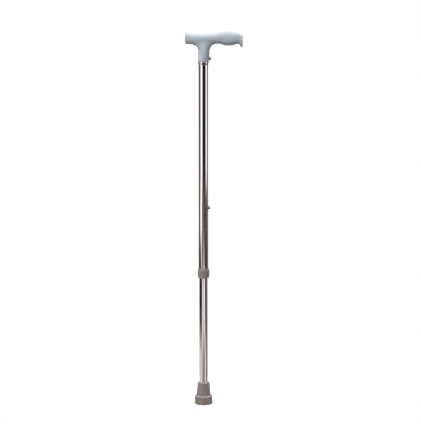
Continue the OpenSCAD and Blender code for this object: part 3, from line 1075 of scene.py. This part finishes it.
@dataclass
class Collar:
    """The lock nut, the threaded bush that it turns on, and the split ring that it squeezes."""

    pitch: float = 2.0 * MM
    thread_depth: float = 0.38 * MM
    clear_gap: float = 0.3 * MM
    nut_floor: float = 2.5 * MM
    bush_wall: float = 0.9 * MM
    running_gap: float = 0.1 * MM
    bush_lip: float = 1.5 * MM
    cone_h: float = 1.6 * MM
    slit: float = 2.2 * MM
    flutes: int = 24
    flute_depth: float = 0.42 * MM

    def build(self) -> Iterator[bpy.types.Object]:
        """Yields the bush, the clamp ring and the nut."""
        self.upper_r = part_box("upper_tube")[1].x
        self.lower_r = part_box("lower_tube")[1].x
        self.thread_r = self.upper_r + self.bush_wall
        yield riding(self.bush(), "collar_bush")
        yield riding(self.ring(), "clamp_ring")
        yield riding(self.nut(), "lock_nut")

    def bush(self) -> bpy.types.Object:
        """Makes the threaded bush on the upper tube's end, and returns it."""
        low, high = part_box("collar_bush")
        tube_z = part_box("upper_tube")[0].z
        mouth, r = self.lower_r + self.clear_gap, self.thread_r
        outline = rounded([
            (mouth + self.cone_h, low.z), (r - 0.4 * MM, low.z), (r, low.z + 0.4 * MM), (r, high.z - 0.4 * MM),
            (r - 0.4 * MM, high.z, 0.1 * MM), (self.upper_r, high.z, 0.1 * MM), (self.upper_r, tube_z), (mouth, tube_z),
            (mouth, tube_z - self.bush_lip)])
        bush = turned("collar_bush_moulded", divided(outline, 0.16 * MM), 144)
        finish = MouldedPlastic("bush_nylon", (0.045, 0.045, 0.048), (0.06, 0.06, 0.062), (0.35, 0.5)).material()
        threading().grow(bush, finish, Pitch=self.pitch, Depth=self.thread_depth, Crest=0.5, Low=low.z + 0.4 * MM,
                         High=high.z - 0.4 * MM, Skin=r - 0.03 * MM, Rim=r + 1 * MM)
        return seated(bush, "collar_bush", finish, 60)

    def ring(self) -> bpy.types.Object:
        """Makes the split clamp ring, and returns it."""
        low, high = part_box("clamp_ring")
        grip, outer = self.lower_r + 0.05 * MM, high.x
        outline = rounded([
            (grip, low.z, 0.15 * MM), (outer - self.cone_h, low.z, 0.15 * MM), (outer, low.z + self.cone_h, 0.3 * MM),
            (outer, high.z - self.cone_h, 0.3 * MM), (outer - self.cone_h, high.z, 0.15 * MM), (grip, high.z, 0.15 * MM)])
        ring = turned("clamp_ring_moulded", divided(outline, 0.4 * MM), 120)
        bm = bmesh.new()
        bmesh.ops.create_cube(bm, size=1.0, matrix=Matrix.Translation((-outer, 0, (low.z + high.z) / 2)) @ Matrix.Diagonal(
            (2 * outer - 2 * MM, self.slit, 2 * (high.z - low.z), 1)))
        cut(ring, placed("slit", bm))
        finish = MouldedPlastic("ring_acetal", (0.62, 0.60, 0.54), (0.56, 0.54, 0.48), (0.3, 0.42), 0.1).material()
        return seated(ring, "clamp_ring", finish)

    def nut(self) -> bpy.types.Object:
        """Makes the fluted lock nut, with the thread in its bore, and returns it."""
        low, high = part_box("lock_nut")
        tall, r = high.z - low.z, high.x
        bore, rim = self.thread_r + self.running_gap, low.z + tall - self.nut_floor
        floor, inner, head = low.z + self.nut_floor, self.lower_r + self.clear_gap, self.upper_r + self.clear_gap
        outline = rounded([
            (inner, low.z, 0.3 * MM), (r - 1.6 * MM, low.z, 0.7 * MM), (r - 0.7 * MM, low.z + 2.6 * MM, 1.0 * MM),
            (r - 0.1 * MM, high.z - 8 * MM, 1.5 * MM), (r, high.z - 6.4 * MM, 1.0 * MM), (r - 0.3 * MM, high.z - 4.2 * MM, 1.0 * MM),
            (self.upper_r + 1.1 * MM, high.z, 0.4 * MM), (head, high.z, 0.2 * MM), (head, rim), (bore, rim), (bore, floor),
            (inner, floor)], 5)
        nut = turned("lock_nut_moulded", divided(outline, 0.22 * MM), 288)
        finish = MouldedPlastic("nut_nylon", (0.225, 0.206, 0.202), (0.268, 0.248, 0.242), (0.2, 0.32)).material()
        fluting().grow(nut, finish, Count=self.flutes, Depth=self.flute_depth, Low=low.z + 3.0 * MM, High=high.z - 5.0 * MM,
                       Fade=1.6 * MM, Skin=bore + 0.5 * MM)
        threading().grow(nut, finish, Pitch=self.pitch, Depth=-self.thread_depth, Crest=0.5, Low=floor + 1 * MM,
                         High=rim - 0.3 * MM, Skin=bore - 0.03 * MM, Rim=bore + 0.03 * MM)
        return seated(nut, "lock_nut", finish, 50)


@dataclass
class TrimRing:
    """The plated ring under the handle."""

    foot_lip: float = 0.42 * MM
    band: float = 1.6 * MM

    def build(self) -> Iterator[bpy.types.Object]:
        """Yields the ring."""
        low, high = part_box("trim_ring")
        tube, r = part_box("upper_tube")[1].x, high.x
        outline = rounded([
            (tube, low.z), (tube + self.foot_lip, low.z, 0.2 * MM), (r - 0.16 * MM, high.z - self.band - 0.5 * MM, 0.5 * MM),
            (r - 0.22 * MM, high.z - self.band - 0.2 * MM, 0.1 * MM), (r, high.z - self.band, 0.2 * MM),
            (r, high.z - 0.25 * MM, 0.25 * MM), (r - 0.4 * MM, high.z, 0.1 * MM), (tube, high.z)])
        ring = turned("trim_ring_turned", divided(outline, 0.3 * MM), 160)
        yield riding(seated(ring, "trim_ring", Plating("trim_chrome").material()), "trim_ring")


@dataclass
class Foot:
    """The rubber ferrule and the washer moulded over its sole."""

    voxel: float = 0.42 * MM
    smoothing: int = 3
    sole_t: float = 7.0 * MM
    base_h: float = 17.5 * MM
    mouth_wall: float = 4.6 * MM
    shoulder_h: float = 2.5 * MM
    shoulder_in: float = 2.2 * MM
    neck_flare: float = 1.7 * MM
    tread_w: float = 2.2 * MM
    tread_depth: float = 1.6 * MM
    tread_pitch: float = 4.4 * MM
    treads: int = 3
    gussets: int = 8
    gusset_t: float = 2.2 * MM
    gusset_h: float = 13.0 * MM

    def build(self) -> Iterator[bpy.types.Object]:
        """Yields the ferrule and the washer."""
        yield riding(self.ferrule(), "ferrule")
        low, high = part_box("ferrule_washer")
        washer = turned("ferrule_washer_stamped", rounded([
            (0, low.z), (high.x, low.z, 0.2 * MM), (high.x, high.z, 0.45 * MM), (0, high.z)]), 96)
        yield riding(seated(washer, "ferrule_washer", ZincPlate().material()), "ferrule_washer")

    def ferrule(self) -> bpy.types.Object:
        """Moulds the ferrule with its gussets and its tread.

        Returns:
            The ferrule.
        """
        low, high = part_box("ferrule")
        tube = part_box("lower_tube")[1].x
        base, top, sh = high.x, high.z, self.base_h
        mouth = tube + self.mouth_wall
        neck = mouth + self.neck_flare
        edges = [2 * MM + (i + 1) * self.tread_pitch for i in range(self.treads)]
        tread = [(r + dr, h) for r in edges for dr, h in ((0, 0), (0, self.tread_depth), (self.tread_w, self.tread_depth),
                                                         (self.tread_w, 0))]
        outline = rounded([
            (0, 0), *tread, (base - 1.2 * MM, 0, 0.4 * MM), (base, 1.4 * MM, 0.5 * MM), (base, sh, 0.6 * MM),
            (base - self.shoulder_in, sh + self.shoulder_h * 0.8, 0.8 * MM), (neck, sh + self.shoulder_h, 0.8 * MM),
            (mouth - 0.1 * MM, top - 4 * MM), (mouth - 0.6 * MM, top - 3.6 * MM), (mouth - 0.6 * MM, top - 3.0 * MM),
            (mouth, top - 2.6 * MM), (mouth, top - 0.9 * MM, 0.5 * MM), (mouth - 0.9 * MM, top, 0.4 * MM),
            (tube + 0.4 * MM, top, 0.3 * MM), (tube, top - 0.8 * MM), (tube, self.sole_t), (0, self.sole_t)])
        body = turned("ferrule_moulded", divided(outline, 1.2 * MM), 144)
        finish = FerruleRubber().material()
        ribs = copies_round().grow(self.gusset(tube, base, neck), finish, Count=self.gussets, Start=math.pi / self.gussets)
        bm = bmesh.new()
        bm.from_mesh(body.data)
        bm.from_mesh(ribs.data)
        bm.to_mesh(body.data)
        bm.free()
        bpy.data.objects.remove(ribs)
        fitted(remeshed(body, self.voxel, self.smoothing), "ferrule")
        return seated(body, "ferrule", finish, 60)

    def gusset(self, tube: float, base: float, neck: float) -> bpy.types.Object:
        """Makes one gusset rib, on the +X side.

        Args:
            tube: The tube's radius.
            base: The base's radius.
            neck: The radius of the neck's foot.

        Returns:
            The rib.
        """
        sh, edge = self.base_h, base - self.shoulder_in
        side = rounded([
            (tube + 1 * MM, sh + 1 * MM), (edge, sh + 1 * MM), (edge - 0.4 * MM, sh + self.shoulder_h, 1.0 * MM),
            (neck - 0.5 * MM, sh + self.gusset_h, 1.0 * MM), (tube + 1 * MM, sh + self.gusset_h)], 3)
        bm = bmesh.new()
        rings = [[bm.verts.new((r, y, h)) for r, h in side] for y in (-self.gusset_t / 2, self.gusset_t / 2)]
        grid_faces(bm, rings, closed=False)
        for ring in rings:
            bm.faces.new(ring)
        return placed("gusset", bm)


# Studio -----------------------------------------------------------------------------------------------


@dataclass
class Studio:
    """A pale floor, soft lamps and the camera."""

    distance: float = 3.5
    height: float = 0.901
    pitch: float = math.radians(7.42)
    lens: float = 131.8
    aside: float = 0.0159
    floor_r: float = 0.27
    floor_t: float = 0.3 * MM

    # Brightness round the stick, by degrees from the camera, in rows from eye level downwards
    LEVEL = ((-180, 0.8), (-150, 0.5), (-134, 0.11), (-98, 0.09), (-84, 0.25), (-66, 0.8), (-58, 1.1), (-40, 1.15),
             (-29, 0.85), (-20, 0.3), (-13, 0.01), (30, 0.01), (38, 0.06), (52, 0.3), (60, 1.0), (84, 1.1), (92, 0.15),
             (118, 0.1), (130, 0.3), (150, 1.0), (180, 0.8))
    BEND = ((-180, 0.8), (-150, 0.5), (-134, 0.09), (-98, 0.08), (-86, 0.3), (-64, 1.1), (-44, 1.1), (-36, 0.5),
            (-28, 0.13), (0, 0.13), (20, 0.09), (85, 0.1), (100, 0.15), (125, 0.2), (145, 0.6), (180, 0.7))
    KNEE = ((-180, 0.5), (-136, 0.08), (-82, 0.05), (-62, 0.3), (-50, 0.7), (-40, 0.45), (-28, 0.16), (-14, 0.24),
            (0, 0.36), (18, 0.34), (30, 0.18), (40, 0.06), (100, 0.08), (125, 0.2), (145, 0.7), (180, 0.6))
    LOWER = ((-180, 0.15), (-140, 0.06), (-107, 0.02), (-60, 0.02), (-45, 0.03), (-38, 0.5), (-28, 0.88), (0, 0.7),
             (20, 0.85), (34, 0.95), (41, 0.4), (47, 0.03), (66, 0.03), (80, 0.14), (110, 0.18), (125, 0.35), (150, 0.6),
             (180, 0.5))
    FOOT = ((-180, 0.6), (-107, 0.6), (-95, 0.72), (-52, 0.76), (-38, 0.5), (-22, 0.42), (-4, 0.24), (12, 0.27), (30, 0.42),
            (48, 0.7), (70, 0.68), (84, 0.2), (110, 0.18), (130, 0.45), (180, 0.6))
    DOWN = ((-180, 0.2), (-140, 0.04), (-100, 0.02), (-88, 0.5), (-70, 0.75), (-45, 0.7), (-34, 0.3), (-20, 0.12),
            (-10, 0.05), (30, 0.06), (50, 0.1), (60, 0.3), (80, 0.3), (90, 0.1), (125, 0.04), (145, 0.3), (180, 0.4))
    UNDER = ((-180, 0.6), (180, 0.6))
    # Each row below the first: the height at which it takes over from the one above, and over what stretch
    rows = ((-0.113, 0.014, BEND), (-0.147, 0.01, KNEE), (-0.168, 0.004, LOWER), (-0.209, 0.016, FOOT),
            (-0.26, 0.012, DOWN), (-0.6, 0.15, UNDER))

    def build(self) -> None:
        """Makes the floor, the light round the stick, the lamps and the camera."""
        self.floor()
        self.surroundings()
        self.lamp("key_lamp", (-1.4, -1.3, 2.2), (0, 0, 0.7), 1.0, 32, (1.0, 0.99, 0.97))
        self.lamp("back_lamp", (0.9, 0.9, 2.3), (0.04, 0, 0.8), 0.7, 15, (0.97, 0.99, 1.0))
        self.camera()

    def floor(self) -> None:
        """Lays the pale floor."""
        s = Shader("floor_paper", Specular_IOR_Level=0.2)
        tone = s.remap(s.noise(s.place(1, 1, 1), 6, 3), 0.3, 0.7)
        floor = turned("floor", [(0, -self.floor_t), (self.floor_r, -self.floor_t), (self.floor_r, 0), (0, 0)], 128)
        floor.data.materials.append(s.dress(
            Base_Color=s.blend(tone, (0.93, 0.91, 0.89), (0.915, 0.895, 0.875)),
            Roughness=s.remap(tone, 0.0, 1.0, 0.75, 0.85)))
        floor.visible_glossy = False
        floor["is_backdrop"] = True

    def round_about(self, w: Wiring, azimuth: Any, stops: Sequence[tuple[float, float]]) -> bpy.types.NodeSocket:
        """Makes the brightness of the panels that stand round the stick.

        Args:
            w: The world's tree.
            azimuth: The direction, from 0 to 1 once round.
            stops: Degrees from the camera, and the brightness there.

        Returns:
            The brightness.
        """
        node = w.add("ShaderNodeFloatCurve", 1.0, azimuth)
        curve = node.mapping.curves[0]
        while len(curve.points) < len(stops):
            curve.points.new(0.5, 0.5)
        for point, (degrees, bright) in zip(curve.points, stops):
            point.location = ((degrees + 180) / 360, bright / 2)
            point.handle_type = "AUTO_CLAMPED"
        node.mapping.update()
        return w.math("MULTIPLY", node.outputs[0], 2.0)

    def surroundings(self) -> None:
        """Makes the light round the stick: white to the eye, soft from above, and panels in its reflections."""
        world = bpy.data.worlds.new("studio")
        bpy.context.scene.world = world
        world.use_nodes = True
        w = Wiring(world.node_tree)
        direction = w.add("ShaderNodeTexCoord").outputs["Generated"]
        x, y, z = w.add("ShaderNodeSeparateXYZ", direction).outputs
        azimuth = w.math("ADD", w.math("DIVIDE", w.math("ARCTAN2", x, w.math("MULTIPLY", y, -1.0)), 2 * math.pi), 0.5)
        seen = self.round_about(w, azimuth, self.LEVEL)
        for top, fade, stops in self.rows:
            share = w.remap(z, top - fade, top + fade, 1.0, 0.0)
            seen = w.add("ShaderNodeMix", share, None, seen, self.round_about(w, azimuth, stops)).outputs[0]
        seen = w.add("ShaderNodeMix", w.remap(z, 0.25, 0.6), None, seen, 0.9).outputs[0]
        warmth = w.math("MAXIMUM", w.remap(z, -0.24, -0.19, 0.91, 1.0), w.remap(z, -0.28, -0.25, 1.0, 0.91))
        green, blue = (w.math("MULTIPLY", w.math("POWER", seen, power), warmth) for power in (1.1, 1.14))
        warm = w.add("ShaderNodeCombineColor", seen, green, blue).outputs[0]
        side = w.math("ADD", 1.0, w.math("MULTIPLY", x, -0.25))
        soft = w.add("ShaderNodeMix", data_type="RGBA", clamp_factor=False)
        w.feed(soft.inputs[0], w.math("MULTIPLY", w.remap(z, -0.3, 0.65), side))
        soft.inputs[6].default_value = (0.14, 0.088, 0.064, 1)
        soft.inputs[7].default_value = (1.08, 1.1, 1.15, 1)
        rays = w.add("ShaderNodeLightPath").outputs
        for share, colour in (("Is Glossy Ray", warm), ("Is Camera Ray", (1, 1, 1, 1))):
            light = w.add("ShaderNodeMix", data_type="RGBA")
            for i, value in ((0, rays[share]), (6, soft.outputs[2]), (7, colour)):
                w.feed(light.inputs[i], value)
            soft = light
        w.feed(w.tree.nodes["Background"].inputs["Color"], soft.outputs[2])

    def lamp(
        self, name: str, place: Sequence[float], target: Sequence[float], size: float, power: float, colour: Colour
    ) -> None:
        """Hangs a soft lamp.

        Args:
            name: Its name.
            place: Where it hangs.
            target: What it faces.
            size: Its width.
            power: Its power, in watts.
            colour: Its colour.
        """
        light = bpy.data.lights.new(name, "AREA")
        light.shape = "DISK"
        light.size, light.energy, light.color = size, power, colour
        lamp = bpy.data.objects.new(name, light)
        lamp.location = place
        lamp.rotation_euler = (Vector(target) - Vector(place)).to_track_quat("-Z", "Y").to_euler()
        bpy.context.scene.collection.objects.link(lamp)

    def camera(self) -> None:
        """Sets up the camera, level with the handle and looking a little down."""
        data = bpy.data.cameras.new("camera")
        data.lens, data.sensor_width, data.sensor_fit = self.lens, 36.0, "AUTO"
        camera = bpy.data.objects.new("camera", data)
        camera.location = (self.aside, -self.distance, self.height)
        camera.rotation_euler = (math.pi / 2 - self.pitch, 0, 0)
        scene = bpy.context.scene
        scene.collection.objects.link(camera)
        scene.camera = camera
        scene.view_settings.view_transform = "Standard"


def main() -> None:
    """Builds the stick from the handle down, then the studio."""
    logging.basicConfig(level=logging.INFO, format="%(message)s")
    assemblies = (
        Handle(), TrimRing(), SpringButton("handle_button", "handle_clip", "upper_stick"), Tubes(), Collar(),
        SpringButton("height_button", "height_clip", "lower_stick"), Foot(),
    )
    for assembly in assemblies:
        for piece in assembly.build():
            log.info("%s: %s, %d faces", type(assembly).__name__, piece.name, len(piece.data.polygons))
    Studio().build()


def write_sizes() -> None:
    """Works out the frame's box and the finished object's; nothing is written or kept."""
    boxes = {"cad": CAD_BOX, "visual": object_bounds()}
    {name: [list(low), list(high)] for name, (low, high) in boxes.items()}


if __name__ == "__main__":
    main()
    write_sizes()
